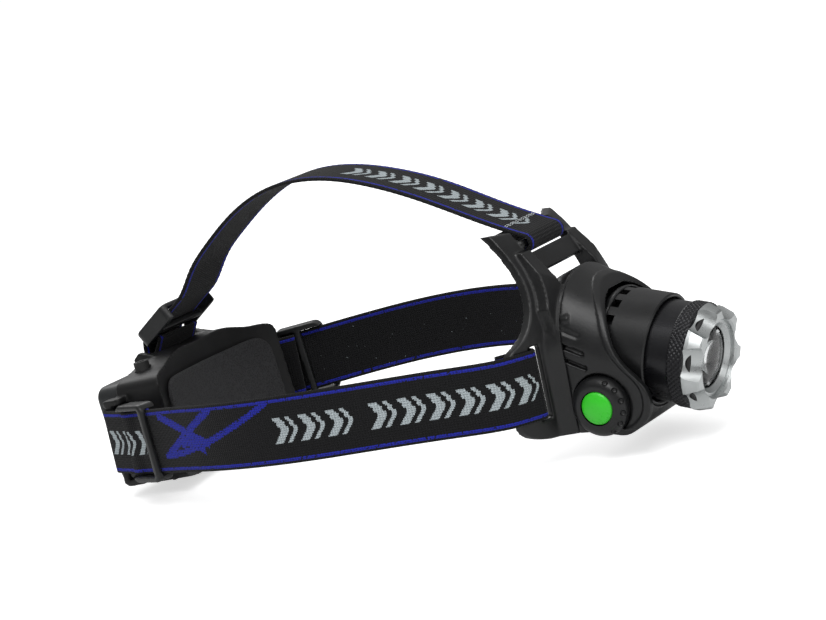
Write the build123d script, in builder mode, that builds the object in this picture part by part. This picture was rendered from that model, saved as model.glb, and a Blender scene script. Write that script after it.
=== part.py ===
"""A camping headlamp: a zooming lamp on a forehead bracket, a battery box on the back of the
head, and the three webbing straps that join them.

Frame: millimetres, +X forward, +Y to the wearer's left, +Z up. The origin is the centre of the
head band's opening, halfway up the band. The lamp is stored tilted a little downward and zoomed out.
"""
from build123d import *
from math import cos, degrees, radians, sin
import os

os.makedirs("parts", exist_ok=True)

# ---------------------------------------------------------------- driving dimensions
WEB_WIDTH = 25.0            # elastic webbing, all three straps
WEB_THICK = 1.8
WEB_GAP = 0.3               # webbing's clearance from whatever it wraps
RUNNING_GAP = 0.05          # radial clearance of a turning or sliding fit

BAND_LENGTH_HALF = 101.6    # head band seen from above: half length, half width and squareness
BAND_WIDTH_HALF = 76.3
BAND_POWER = 1.77
BAND_RISE = 5.0             # how much higher the band runs at the front than at its middle
BAND_ARCH = 6.5             # how much higher it runs over the ears
BAND_LIFT = 4.5             # how much it levels out again towards the battery box
LIFT_START, LIFT_LENGTH = -60.0, 50.0

PIVOT_X, PIVOT_Z = 109.0, -5.5
LAMP_TILT = 13.5            # degrees below level
LAMP_RISE = 15.5            # lamp axis above the tilt pivot

HOLDER_R = 20.5
SLEEVE_R = 20.0
TUBE_R = 18.0
TUBE_BORE_R = 16.5
BEZEL_R = 19.0
BEZEL_FACE_R = 17.8
BEZEL_FRONT = 33.0          # along the lamp axis from the pivot
BEZEL_NOTCHES = 7

HOOD_HALF_WIDTH = 25.0
HOOD_TOP = 40.2
HOOD_FOOT = -15.0
HOOD_WALL = 2.3
SEAM_X = 98.0               # plane where the hood meets the bracket
TRUNNION_R = 9.0
EAR_FACE_Y = 23.7           # spot face round each trunnion
EAR_INSIDE_Y = 21.8
KNUCKLE_Y = 21.2            # half width of the lamp's knuckle between the ears
KNUCKLE_R = 10.0
BUTTON_R = 6.0

HEAD_R = 77.0               # bracket's inner radius, seen from above
HEAD_X = 17.0               # centre of that radius
BROW_R = 58.0               # bracket's inner radius, seen from the side
BROW_START = 16.0           # height where the bracket starts to lean back
FLANGE = 3.0
RIDGE = 6.0
PAD = 3.0

CELL_R = 9.15               # 18650 cell: 18.3 mm across, 65 mm long
CELL_LENGTH = 65.0
CELL_PITCH = 18.4
BOX_TILT = 5.6              # the back of the head leans
BOX_X, BOX_Z = -90.6, -1.0
BOX_HALF_WIDTH = 38.0
BOX_HALF_HEIGHT = 19.6
BOX_HALF_DEPTH = 11.0
BOX_WALL = 1.2
LID_PLANE = -1.0            # parting plane, measured outward from the box's middle
CRADLE_WALL = 1.6
EAR_SLAB_FOOT, EAR_SLAB_HEIGHT = -19.0, 34.4
GROMMET_AT = (5, -27)       # in the battery box's frame
GROMMET_R = 3.0
LID_PIN_R = 1.0
POST_R = 1.6                # posts and bars that the webbing wraps

# ---------------------------------------------------------------- places worked out from them
RIGHT, LEFT = -1, 1
lamp_dir = Vector(cos(radians(LAMP_TILT)), 0, -sin(radians(LAMP_TILT)))
lamp_up = Vector(sin(radians(LAMP_TILT)), 0, cos(radians(LAMP_TILT)))
lamp_origin = Vector(PIVOT_X, 0, PIVOT_Z) + lamp_up * LAMP_RISE
LAMP_AXIS = Axis(lamp_origin, lamp_dir)
LAMP_SIDE = Plane(origin=lamp_origin, x_dir=lamp_dir, z_dir=(0, -1, 0))
LAMP_FRONT = Plane(origin=lamp_origin, x_dir=(0, 1, 0), z_dir=lamp_dir)
PIVOT_SIDE = Plane(origin=(PIVOT_X, 0, PIVOT_Z), x_dir=lamp_dir, z_dir=(0, -1, 0))
lean = radians(BOX_TILT)
BOX = Plane(origin=(BOX_X, 0, BOX_Z), x_dir=(cos(lean), 0, sin(lean)), z_dir=(-sin(lean), 0, cos(lean)))
WRAP_R = POST_R + WEB_GAP + WEB_THICK / 2
HORN_BAR = Vector(83.3, 0, 51.8)


def finish(part, name):
    """Label a finished piece and write it."""
    part.label = name
    export_step(part, f"parts/{name}.step")


def lamp_outline(points):
    """Outline of (along, radius) points beside the lamp axis, to be turned about it."""
    with BuildSketch(LAMP_SIDE) as outline:
        with BuildLine():
            Polyline(*points, close=True)
        make_face()
    return outline.sketch


def lamp_ring(start, end, outer, inner):
    """Outline of a plain ring round the lamp axis."""
    return lamp_outline([(start, inner), (end, inner), (end, outer), (start, outer)])


# ---------------------------------------------------------------- forehead bracket
def brow_profile(inset, thickness):
    """Side view of a skin that follows the forehead: upright low down, leaning back above."""
    front = HEAD_X + HEAD_R + inset
    inner_r = BROW_R + inset
    centre = (front - inner_r, BROW_START)
    with BuildSketch(Plane.XZ) as profile:
        with BuildLine():
            inner = CenterArc(centre, inner_r, 0, 54)
            outer = CenterArc(centre, inner_r + thickness, 0, 54)
            Line(inner @ 1, outer @ 1)
            Polyline(outer @ 0, (front + thickness, -20), (front, -20), inner @ 0)
        make_face()
    return profile.sketch


def bracket_outline(margin):
    """The bracket seen from the front: two wings, a waist and two horns, drawn in by a margin."""
    with BuildSketch(Plane.YZ) as outline:
        with BuildLine() as half:
            Line((0, -15 + margin), (25, -15 + margin))
            Spline((25, -15 + margin), (35, -13.5 + margin), (41 - margin, -6), tangents=[(1, 0), (0, 1)])
            Line((41 - margin, -6), (41 - margin, 15))
            Spline((41 - margin, 15), (36, 21 - margin), (28 - margin, 30), (25 - margin, 38),
                   (22.5 - margin, 57.5 - margin), tangents=[(0, 1), (-0.15, 1)])
            Polyline((22.5 - margin, 57.5 - margin), (14, 56.5 - margin), (14, 36), (0, 36))
            mirror(about=Plane.YZ)
        make_face()
    return outline.sketch


def hood_section(x, half_width, top, bottom, corner):
    """Cross-section of the hood: square below, with large round shoulders."""
    with BuildSketch(Plane.YZ.offset(x)) as section:
        with Locations((0, (top + bottom) / 2)):
            Rectangle(2 * half_width, top - bottom)
        fillet(section.vertices().group_by(Axis.Y)[-1], corner)
    return section.sketch


def front_disc(y, z, radius):
    """Circle seen from the front, for bosses, screws and their holes."""
    with BuildSketch(Plane.YZ) as disc:
        with Locations((y, z)):
            Circle(radius)
    return disc.sketch



HOOD_REAR = hood_section(SEAM_X, HOOD_HALF_WIDTH, HOOD_TOP, HOOD_FOOT, 24.8)
HOOD_FRONT = hood_section(132, HOOD_HALF_WIDTH - 1, 20.5, HOOD_FOOT, 20)
SCREW_PLACES = [(21, 25, 3.2), (21, -12.8, 1.3), (-21, 25, 3.2), (-21, -12.8, 1.3)]   # y, z, depth


def hood_inside():
    """Hollow of the hood, open below, forward and back."""
    inner_half = HOOD_HALF_WIDTH - HOOD_WALL
    with BuildPart() as hollow:
        loft([hood_section(SEAM_X, inner_half, HOOD_TOP - HOOD_WALL, -40, 20.6),
              hood_section(132, inner_half - 1, 20.5 - HOOD_WALL, -40, 14.8)])
    return hollow.part


def hood_side_outline(back, down):
    """Side view of the hood: arch above, sloping front edge, round lobe below the pivot."""
    with BuildSketch(Plane.XZ) as outline:
        with BuildLine():
            lobe = Spline((114 - back, -16 - down), (124 - back, -13 - down), (127.8 - back, -5 - down),
                          tangents=[(1, 0), (0, 1)])
            edge = Spline(lobe @ 1, (123.3 - back, 4.1 - down), (117.3 - back, 12.7 - down),
                          (114 - back, 22.8 - down), (105.5 - back, 38 - down),
                           tangents=[(0, 1), (-0.7, 1)])
            Polyline(edge @ 1, (103, 50), (SEAM_X, 50), (SEAM_X, -16 - down), lobe @ 0)
        make_face()
    return outline.sketch


def screw_disc(y, z, radius):
    """Circle on the seam plane, for the hood screws and their bosses."""
    with BuildSketch(Plane.YZ.offset(SEAM_X)) as disc:
        with Locations((y, z)):
            Circle(radius)
    return disc.sketch


def lamp_section(along):
    """Plane square to the lamp axis, a distance along it."""
    return LAMP_FRONT.offset(along)


RIDGE_CLEAR = [(86.6, 50), (97.8, 36), (130, 36), (130, 80), (40, 80), (40, 50)]
with BuildPart() as ridge:
    revolve(brow_profile(1, RIDGE), axis=Axis((HEAD_X, 0, 0), (0, 0, 1)))
    extrude(bracket_outline(3), amount=120, mode=Mode.INTERSECT)
    Box(300, 50, 200, mode=Mode.INTERSECT)
    # it runs out towards the horns' tips
    with BuildSketch(Plane.XZ):
        Polygon(*RIDGE_CLEAR, align=None)
    extrude(amount=40, both=True, mode=Mode.SUBTRACT)

with BuildPart() as front_bracket:
    revolve(brow_profile(0, FLANGE), axis=Axis((HEAD_X, 0, 0), (0, 0, 1)))
    extrude(bracket_outline(0), amount=120, mode=Mode.INTERSECT)
    add(ridge.part)
    loft([hood_section(87, HOOD_HALF_WIDTH + 4.5, 36, HOOD_FOOT, 26), HOOD_REAR])
    # hollow face behind the lamp
    extrude(hood_section(SEAM_X + 10, HOOD_HALF_WIDTH - HOOD_WALL, HOOD_TOP - HOOD_WALL, -40, 22.5),
            amount=HEAD_X + HEAD_R + FLANGE - SEAM_X - 10, mode=Mode.SUBTRACT)
    # clear the forehead side
    revolve(brow_profile(-40, 40), axis=Axis((HEAD_X, 0, 0), (0, 0, 1)), mode=Mode.SUBTRACT)
    # crossbar and strap bar between the horns
    with Locations(Location((87.4, 0, 44.8), (0, -30, 0))):
        Box(3.2, 30, 7.6)
    with Locations(Location(HORN_BAR, (90, 0, 0))):
        Cylinder(POST_R, 30)
    # slots for the head band, next to the wings' roots
    for side in (RIGHT, LEFT):
        with Locations(Location((HEAD_X, 0, 5.8), (0, 0, side * 23.0))):
            with Locations((HEAD_R + 3, 0, 0)):
                Box(16, 4.6, 26.4, mode=Mode.SUBTRACT)
    for y, z, _ in SCREW_PLACES:
        extrude(front_disc(y, z, 1.3), amount=120, mode=Mode.SUBTRACT)
        extrude(front_disc(y, z, 2.7), amount=93.5, mode=Mode.SUBTRACT)
finish(front_bracket.part, "front_bracket")

with BuildPart() as forehead_pad:
    revolve(brow_profile(-PAD, PAD), axis=Axis((HEAD_X, 0, 0), (0, 0, 1)))
    with BuildSketch(Plane.YZ):
        with Locations((0, 10)):
            RectangleRounded(50, 44, 9)
    extrude(amount=120, mode=Mode.INTERSECT)
finish(forehead_pad.part, "forehead_pad")

# ---------------------------------------------------------------- hood
VENTS = [(102.2, 21.4, 8.0, 4.0), (101.5, 14.9, 9.2, 1.7), (101.5, 9.9, 9.6, 1.3)]

with BuildPart() as hood_lip:
    loft([hood_section(SEAM_X, HOOD_HALF_WIDTH + 0.6, HOOD_TOP + 0.6, HOOD_FOOT, 25.4),
          hood_section(132, HOOD_HALF_WIDTH - 0.4, 21.1, HOOD_FOOT, 20.6)])
    extrude(hood_side_outline(0, 0), amount=40, both=True, mode=Mode.INTERSECT)
    extrude(hood_side_outline(2.3, -1.0), amount=40, both=True, mode=Mode.SUBTRACT)

with BuildPart() as hood:
    loft([HOOD_REAR, HOOD_FRONT])
    extrude(hood_side_outline(0, 0), amount=40, both=True, mode=Mode.INTERSECT)
    add(hood_lip.part)
    add(hood_inside(), mode=Mode.SUBTRACT)
    for side in (RIGHT, LEFT):
        ear = Plane(origin=(PIVOT_X, 0, PIVOT_Z), x_dir=(1, 0, 0), z_dir=(0, side, 0))
        with BuildSketch(ear.offset(EAR_INSIDE_Y)):
            Circle(KNUCKLE_R + 0.9)
        extrude(amount=1.5)
        with BuildSketch(ear.offset(EAR_FACE_Y)):
            Circle(11.2)
        extrude(amount=8, mode=Mode.SUBTRACT)
        with BuildSketch(ear):
            Circle(TRUNNION_R + RUNNING_GAP)
        extrude(amount=40, mode=Mode.SUBTRACT)
        # vents pressed into the cheek
        cheek = Plane(origin=(0, side * 23.4, 0), x_dir=(1, 0, 0), z_dir=(0, side, 0))
        for x, z, length, height in VENTS:
            with BuildSketch(cheek):
                with Locations(Location((x, -side * z, 0), (0, 0, side * 25))):
                    RectangleRounded(length, height, height * 0.42)
            extrude(amount=8, mode=Mode.SUBTRACT)
    for y, z, depth in SCREW_PLACES:
        extrude(screw_disc(y, z, 2.2), amount=depth)
        extrude(screw_disc(y, z, 1.05), amount=depth, mode=Mode.SUBTRACT)
finish(hood.part, "hood")

with BuildPart() as hood_screws:
    for y, z, depth in SCREW_PLACES:
        extrude(screw_disc(y, z, 1.0), amount=depth - 0.1)
        extrude(screw_disc(y, z, 1.25), amount=-4.6)
        with BuildSketch(Plane.YZ.offset(93.4)) as screw_head:
            with Locations((y, z)):
                Circle(2.5)
        extrude(screw_head.sketch, amount=-1.6)
finish(hood_screws.part, "hood_screws")

# ---------------------------------------------------------------- tilting lamp: plastic parts
with BuildPart() as chin:
    with BuildSketch(LAMP_SIDE):
        with BuildLine():
            front = Line((13, -10), (13, -20.5))
            under = Spline(front @ 1, (7, -27.2), (0, -28), tangents=[(-0.35, -1), (-1, 0)])
            Polyline(under @ 1, (-7, -25), (-9.5, -19), (-9.0, -8), front @ 0)
        make_face()
    extrude(amount=18.6, both=True)
    fillet(chin.faces().group_by(SortBy.AREA)[-2:][0].edges().group_by(Axis.Z)[0], 0.8)

with BuildPart() as lamp_holder:
    with BuildSketch(LAMP_SIDE):
        with BuildLine():
            Polyline((-6.2, HOLDER_R - 0.5), (-4.6, HOLDER_R), (9, HOLDER_R), (9, SLEEVE_R + RUNNING_GAP),
                     (-4.0, SLEEVE_R + RUNNING_GAP), (-4.0, TUBE_R + 0.5), (-4.6, TUBE_R + 0.5),
                     (-4.6, TUBE_BORE_R - 0.05), (-5.5, TUBE_BORE_R - 0.05), (-5.5, 0), (-9.5, 0),
                     (-9.5, 10.5))
            Spline((-9.5, 10.5), (-8.5, 16.6), (-6.2, HOLDER_R - 0.5), tangents=[(0, 1), (0.8, 0.6)])
        make_face()
    revolve(axis=LAMP_AXIS)
    # front rim follows an arch, high at the back and reaching forward over the top
    with BuildSketch(LAMP_SIDE):
        with BuildLine():
            top = Line((-3.9, 24), (-3.9, -8))
            rim = Spline(top @ 1, (0.5, -14.5), (9, -21), tangents=[(0, -1), (1, -0.6)])
            Polyline(rim @ 1, (30, -21), (30, 24), top @ 0)
        make_face()
    extrude(amount=40, both=True, mode=Mode.SUBTRACT)
    add(chin.part)
    with BuildSketch(PIVOT_SIDE):
        Circle(KNUCKLE_R)
    extrude(amount=KNUCKLE_Y, both=True)
    with BuildSketch(PIVOT_SIDE):
        Circle(TRUNNION_R)
    extrude(amount=24.0, both=True)
    # seat of the sleeve and of the barrel behind it
    revolve(lamp_ring(-4.0, 40, SLEEVE_R + RUNNING_GAP, 0), axis=LAMP_AXIS, mode=Mode.SUBTRACT)
    revolve(lamp_ring(-4.6, 40, TUBE_R + 0.5, 0), axis=LAMP_AXIS, mode=Mode.SUBTRACT)
    revolve(lamp_ring(-5.5, 40, TUBE_BORE_R - 0.05, 0), axis=LAMP_AXIS, mode=Mode.SUBTRACT)
    # pocket for the switch
    with BuildSketch(PIVOT_SIDE.offset(17.6)):
        Circle(BUTTON_R + 0.3)
    extrude(amount=20, mode=Mode.SUBTRACT)
    # hole for the screw that holds the other cap
    with BuildSketch(PIVOT_SIDE.offset(-16.5)):
        Circle(1.25)
    extrude(amount=-20, mode=Mode.SUBTRACT)
finish(lamp_holder.part, "lamp_holder")

with BuildPart() as lamp_sleeve:
    revolve(lamp_ring(-3.9, 13, SLEEVE_R, TUBE_R + 0.4), axis=LAMP_AXIS)
    chamfer(lamp_sleeve.edges().filter_by(GeomType.CIRCLE).group_by(Axis(lamp_origin, lamp_dir))[-1], 0.5)
    # castellated rear edge
    with BuildSketch(lamp_section(-4.0)):
        with PolarLocations(SLEEVE_R, 18):
            Rectangle(6, 3.6)
    extrude(amount=3.1, mode=Mode.SUBTRACT)
finish(lamp_sleeve.part, "lamp_sleeve")

with BuildPart() as switch_housing:
    with BuildSketch(PIVOT_SIDE.offset(24.1)):
        Circle(10.8)
    extrude(amount=4.6)
    fillet(switch_housing.edges().filter_by(GeomType.CIRCLE).sort_by(Axis.Y)[0], 3.4)
    with BuildSketch(PIVOT_SIDE.offset(24.1)):
        Circle(BUTTON_R + 0.25)
    extrude(amount=8, mode=Mode.SUBTRACT)
    # thumb dimples on the front and upper flank
    for turn in (-50, -25, 0, 25, 50, 75):
        dimple = PIVOT_SIDE.offset(27.9)
        with Locations(dimple * Location((10.0 * cos(radians(turn)), 10.0 * sin(radians(turn)), 0))):
            Sphere(1.15, mode=Mode.SUBTRACT)
finish(switch_housing.part, "switch_housing")

with BuildPart() as pivot_cap:
    with BuildSketch(PIVOT_SIDE.offset(-24.1)):
        Circle(10.8)
    extrude(amount=-3.0)
    fillet(pivot_cap.edges().filter_by(GeomType.CIRCLE).sort_by(Axis.Y)[-1], 2.4)
    with BuildSketch(PIVOT_SIDE.offset(-25.4)):
        Circle(3.2)
    extrude(amount=-8, mode=Mode.SUBTRACT)
    with BuildSketch(PIVOT_SIDE):
        Circle(1.3)
    extrude(amount=-40, mode=Mode.SUBTRACT)
finish(pivot_cap.part, "pivot_cap")

with BuildPart() as pivot_screw:
    with BuildSketch(PIVOT_SIDE.offset(-25.45)):
        Circle(2.9)
    extrude(amount=-1.3)
    with BuildSketch(PIVOT_SIDE.offset(-17)):
        Circle(1.2)
    extrude(amount=-8.5)
    with BuildSketch(PIVOT_SIDE.offset(-26.2)):
        Rectangle(3.6, 0.7)
        Rectangle(0.7, 3.6)
    extrude(amount=-2, mode=Mode.SUBTRACT)
finish(pivot_screw.part, "pivot_screw")

with BuildPart() as tilt_washers:
    for side in (RIGHT, LEFT):
        with BuildSketch(PIVOT_SIDE.offset(-side * (KNUCKLE_Y + 0.05))):
            Circle(10.2)
            Circle(TRUNNION_R + 0.1, mode=Mode.SUBTRACT)
        extrude(amount=-side * 0.45)
finish(tilt_washers.part, "tilt_washers")

with BuildPart() as switch_button:
    button_side = Plane(origin=(PIVOT_X, 0, PIVOT_Z), x_dir=lamp_dir, z_dir=lamp_up)
    with BuildSketch(button_side):
        with BuildLine():
            dome = Spline((0, -29.9), (4.2, -29.4), (BUTTON_R, -28.0), tangents=[(1, 0), (0.2, 1)])
            Polyline(dome @ 1, (BUTTON_R, -23.2), (1.8, -23.2), (1.8, -22.0), (0, -22.0), dome @ 0)
        make_face()
    revolve(axis=Axis((PIVOT_X, 0, PIVOT_Z), (0, 1, 0)))
finish(switch_button.part, "switch_button")

with BuildPart() as switch_body:
    with BuildSketch(PIVOT_SIDE.offset(17.7)):
        Circle(BUTTON_R - 0.2)
    extrude(amount=2.3)
    with BuildSketch(PIVOT_SIDE.offset(20.0)):
        Circle(1.6)
    extrude(amount=0.6)
finish(switch_body.part, "switch_body")

# ---------------------------------------------------------------- tilting lamp: works
with BuildPart() as inner_barrel:
    revolve(lamp_ring(-5.5, 13, TUBE_BORE_R - RUNNING_GAP, 14.9), axis=LAMP_AXIS)
    revolve(lamp_ring(10.4, 11.6, 17, 15.8), axis=LAMP_AXIS, mode=Mode.SUBTRACT)
finish(inner_barrel.part, "inner_barrel")

with BuildPart() as barrel_oring:
    revolve(lamp_ring(10.45, 11.55, TUBE_BORE_R - 0.02, 15.8), axis=LAMP_AXIS)
finish(barrel_oring.part, "barrel_oring")

with BuildPart() as heat_sink:
    revolve(lamp_ring(-3, 2, 14.9, 2.0), axis=LAMP_AXIS)
    with BuildSketch(lamp_section(-3)):
        with PolarLocations(11.5, 12):
            Rectangle(5.0, 1.4)
    extrude(amount=3, mode=Mode.SUBTRACT)
finish(heat_sink.part, "heat_sink")

with BuildPart() as driver_board:
    revolve(lamp_ring(-4.6, -3.4, 14.0, 0), axis=LAMP_AXIS)
    with BuildSketch(lamp_section(-5.4)):
        with Locations((4, 3), (-5, -4)):
            Rectangle(5, 4)
        with Locations((-4, 6)):
            Circle(2)
    extrude(amount=0.8)
finish(driver_board.part, "driver_board")

with BuildPart() as led_board:
    with BuildSketch(lamp_section(2)):
        Circle(9.5)
        with PolarLocations(9.5, 6):
            Circle(1.5, mode=Mode.SUBTRACT)
    extrude(amount=1.6)
finish(led_board.part, "led_board")

with BuildPart() as led_emitter:
    with BuildSketch(lamp_section(3.6)):
        Rectangle(5, 5)
    extrude(amount=0.8)
    with BuildSketch(lamp_section(4.4)):
        Circle(2.2)
    extrude(amount=1.5)
    fillet(led_emitter.faces().sort_by(LAMP_AXIS)[-1].edges(), 1.3)
finish(led_emitter.part, "led_emitter")

# ---------------------------------------------------------------- zooming head
with BuildPart() as zoom_tube:
    revolve(lamp_ring(3.2, 26.7, TUBE_R, TUBE_BORE_R), axis=LAMP_AXIS)
finish(zoom_tube.part, "zoom_tube")

with BuildPart() as knurled_ring:
    revolve(lamp_outline([(21.1, TUBE_R), (21.1, 18.5), (21.5, BEZEL_R - 0.1), (26.4, BEZEL_R - 0.1),
                          (26.7, 18.7), (26.7, TUBE_R)]), axis=LAMP_AXIS)
finish(knurled_ring.part, "knurled_ring")

with BuildPart() as bezel:
    revolve(lamp_outline([(26.8, TUBE_BORE_R), (26.8, BEZEL_R - 0.3), (27.1, BEZEL_R), (28.4, BEZEL_R),
                          (32.4, BEZEL_FACE_R), (BEZEL_FRONT, BEZEL_FACE_R - 0.6), (BEZEL_FRONT, 14.2),
                          (32.2, 13.6), (31.2, 13.4), (31.2, 12.4), (29.6, 10.9), (29.2, 10.9),
                          (29.2, TUBE_BORE_R)]), axis=LAMP_AXIS)
    # scalloped bites round the rim, deepest at the front
    for index in range(BEZEL_NOTCHES):
        turn = Location((0, 0, 0), (0, 0, 360 / BEZEL_NOTCHES * (index + 0.35)))
        bite = lamp_section(BEZEL_FRONT) * turn * Location((BEZEL_FACE_R + 5.0, 0, 0), (0, -28, 0))
        with Locations(bite):
            Cylinder(8.2, 13, mode=Mode.SUBTRACT)
finish(bezel.part, "bezel")

with BuildPart() as lens:
    with BuildSketch(LAMP_SIDE):
        with BuildLine():
            front = Spline((31.6, 0), (30.9, 5.5), (28.9, 10.6), tangents=[(0, 1), (-0.75, 1)])
            Polyline(front @ 1, (28.9, 14.4), (27.9, 14.4), (27.9, 12.0))
            Spline((27.9, 12.0), (25.2, 6.5), (23.6, 0), tangents=[(-0.6, -1), (0, -1)])
            Line((23.6, 0), front @ 0)
        make_face()
    revolve(axis=LAMP_AXIS)
finish(lens.part, "lens")

with BuildPart() as lens_oring:
    revolve(lamp_ring(28.0, 29.1, TUBE_BORE_R - 0.1, 14.5), axis=LAMP_AXIS)
finish(lens_oring.part, "lens_oring")

with BuildPart() as lens_retainer:
    revolve(lamp_ring(24.8, 26.7, TUBE_BORE_R, 13.0), axis=LAMP_AXIS)
    revolve(lamp_ring(26.7, 27.8, 16.0, 12.6), axis=LAMP_AXIS)
    with BuildSketch(lamp_section(24.8)):
        with PolarLocations(14.6, 2):
            Rectangle(4, 1.6)
    extrude(amount=1.0, mode=Mode.SUBTRACT)
finish(lens_retainer.part, "lens_retainer")

# ---------------------------------------------------------------- battery box
def box_front(x, half_y, half_z, corner):
    """Rounded rectangle square to the box's depth, a distance forward of its middle."""
    plane = Plane(origin=BOX.from_local_coords((x, 0, 0)), x_dir=(0, 1, 0), z_dir=BOX.x_dir)
    with BuildSketch(plane) as face:
        RectangleRounded(2 * half_y, 2 * half_z, corner)
    return face.sketch


def box_side(y):
    """Plane beside the box, seen from the wearer's right, in the box's own leaning frame."""
    return Plane(origin=BOX.from_local_coords((0, y, 0)), x_dir=BOX.x_dir, z_dir=(0, -1, 0))


PIN_X, PIN_Z = LID_PLANE, -BOX_HALF_HEIGHT - 2.5
KNUCKLE_PITCH = 9.0
LID_DEPTH = BOX_HALF_DEPTH + LID_PLANE + 2.5


def hinge_knuckles(centres, reach):
    """Knuckles round the lid's pin, each with a web reaching to the wall it grows from."""
    with BuildPart() as knuckles:
        for y in centres:
            with BuildSketch(box_side(y + KNUCKLE_PITCH / 2 - 0.15)):
                with Locations((PIN_X, PIN_Z)):
                    Circle(2.2)
                with Locations((PIN_X + reach / 2, PIN_Z + 1.7)):
                    Rectangle(abs(reach), 2.0)
            extrude(amount=KNUCKLE_PITCH - 0.3)
    return knuckles.part


with BuildPart() as lid_pin_bore:
    with BuildSketch(box_side(0)):
        with Locations((PIN_X, PIN_Z)):
            Circle(LID_PIN_R + RUNNING_GAP)
    extrude(amount=40, both=True)

with BuildPart() as battery_lid:
    extrude(box_front(LID_PLANE - 0.15, BOX_HALF_WIDTH, BOX_HALF_HEIGHT, 5), amount=-(LID_DEPTH - 0.15))
    fillet(battery_lid.faces().sort_by(Axis.X)[0].edges(), 2.6)
    extrude(box_front(LID_PLANE - 0.15, BOX_HALF_WIDTH - BOX_WALL, BOX_HALF_HEIGHT - BOX_WALL, 4),
            amount=-(LID_DEPTH - BOX_WALL), mode=Mode.SUBTRACT)
    add(hinge_knuckles([-2 * KNUCKLE_PITCH, 0, 2 * KNUCKLE_PITCH], -2.2))
    add(lid_pin_bore.part, mode=Mode.SUBTRACT)
finish(battery_lid.part, "battery_lid")

with BuildPart() as lid_hinge_pin:
    with BuildSketch(box_side(0)):
        with Locations((PIN_X, PIN_Z)):
            Circle(LID_PIN_R)
    extrude(amount=2.5 * KNUCKLE_PITCH, both=True)
finish(lid_hinge_pin.part, "lid_hinge_pin")

with BuildPart() as battery_tray:
    extrude(box_front(LID_PLANE, BOX_HALF_WIDTH, BOX_HALF_HEIGHT, 5), amount=BOX_HALF_DEPTH - LID_PLANE)
    extrude(box_front(LID_PLANE, BOX_HALF_WIDTH - BOX_WALL, BOX_HALF_HEIGHT - BOX_WALL, 4),
            amount=BOX_HALF_DEPTH - LID_PLANE - 1.4, mode=Mode.SUBTRACT)
finish(battery_tray.part, "battery_tray")


def box_cylinder(y, z, radius, length):
    """Bar along the box's width, from y towards the wearer's left."""
    with BuildPart() as bar:
        with BuildSketch(box_side(y)):
            with Locations((0, z)):
                Circle(radius)
        extrude(amount=-length)
    return bar.part


for index, name in enumerate(["upper_battery_cell", "lower_battery_cell"]):
    z = CELL_PITCH * (0.5 - index)
    with BuildPart() as cell:
        add(box_cylinder(-CELL_LENGTH / 2, z, CELL_R, CELL_LENGTH - 1.2))
        chamfer(cell.edges().filter_by(GeomType.CIRCLE), 0.5)
        add(box_cylinder(CELL_LENGTH / 2 - 1.2, z, 3.2, 1.2))
    finish(cell.part, name)

with BuildPart() as contact_springs:
    for z in (CELL_PITCH / 2, -CELL_PITCH / 2):
        for turn in range(4):
            with BuildSketch(box_side(-CELL_LENGTH / 2 - 0.1 - turn * 0.85)):
                with Locations((0, z)):
                    Circle(3.0 + 0.5 * turn)
                    Circle(1.9 + 0.5 * turn, mode=Mode.SUBTRACT)
            extrude(amount=0.86)
finish(contact_springs.part, "contact_springs")

with BuildPart() as contact_plates:
    for y in (-CELL_LENGTH / 2 - 3.6, CELL_LENGTH / 2 + 0.5):
        for z in (CELL_PITCH / 2, -CELL_PITCH / 2):
            with BuildSketch(box_side(y)):
                with Locations((0.5, z)):
                    Rectangle(11, 12)
            extrude(amount=0.5)
finish(contact_plates.part, "contact_plates")

with BuildPart() as protection_board:
    extrude(box_front(7.4, 26, 3.2, 0.5), amount=1.0)
    extrude(box_front(6.6, 4, 1.8, 0.3), amount=0.9)
finish(protection_board.part, "protection_board")

# ---------------------------------------------------------------- cradle that holds the box
CRADLE_Y = BOX_HALF_WIDTH + CRADLE_WALL
POST = BOX.from_local_coords((-3.0, 43.6, 0))
BAR_X, BAR_Z = -2.4, 24.0


def cradle_outline(grow):
    """The cradle seen from behind: low sides, raised shoulders for the top strap, a lobed foot."""
    plane = Plane(origin=BOX.from_local_coords((-30, 0, 0)), x_dir=(0, 1, 0), z_dir=BOX.x_dir)
    low = BOX_HALF_HEIGHT + CRADLE_WALL + grow
    with BuildSketch(plane) as outline:
        with BuildLine():
            Spline((0, 25), (17, 25), (29, low + 0.6), (CRADLE_Y + grow - 4, low - 0.5),
                   (CRADLE_Y + grow, low - 5),
                   tangents=[(1, 0), (0, -1)])
            Line((CRADLE_Y + grow, low - 5), (CRADLE_Y + grow, -low + 5))
            Spline((CRADLE_Y + grow, -low + 5), (CRADLE_Y + grow - 5, -low), (27, -low - 1.2),
                   (24, -low - 1.4),
                   tangents=[(0, -1), (-1, 0)])
            Line((24, -low - 1.4), (0, -low - 1.4))
            mirror(about=Plane.YZ)
        make_face()
    return outline.sketch


def box_top(rise):
    """Plane of the cable grommet, above the battery box's top."""
    return Plane(origin=BOX.from_local_coords((*GROMMET_AT, BOX_HALF_HEIGHT + rise)), z_dir=BOX.z_dir)


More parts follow.
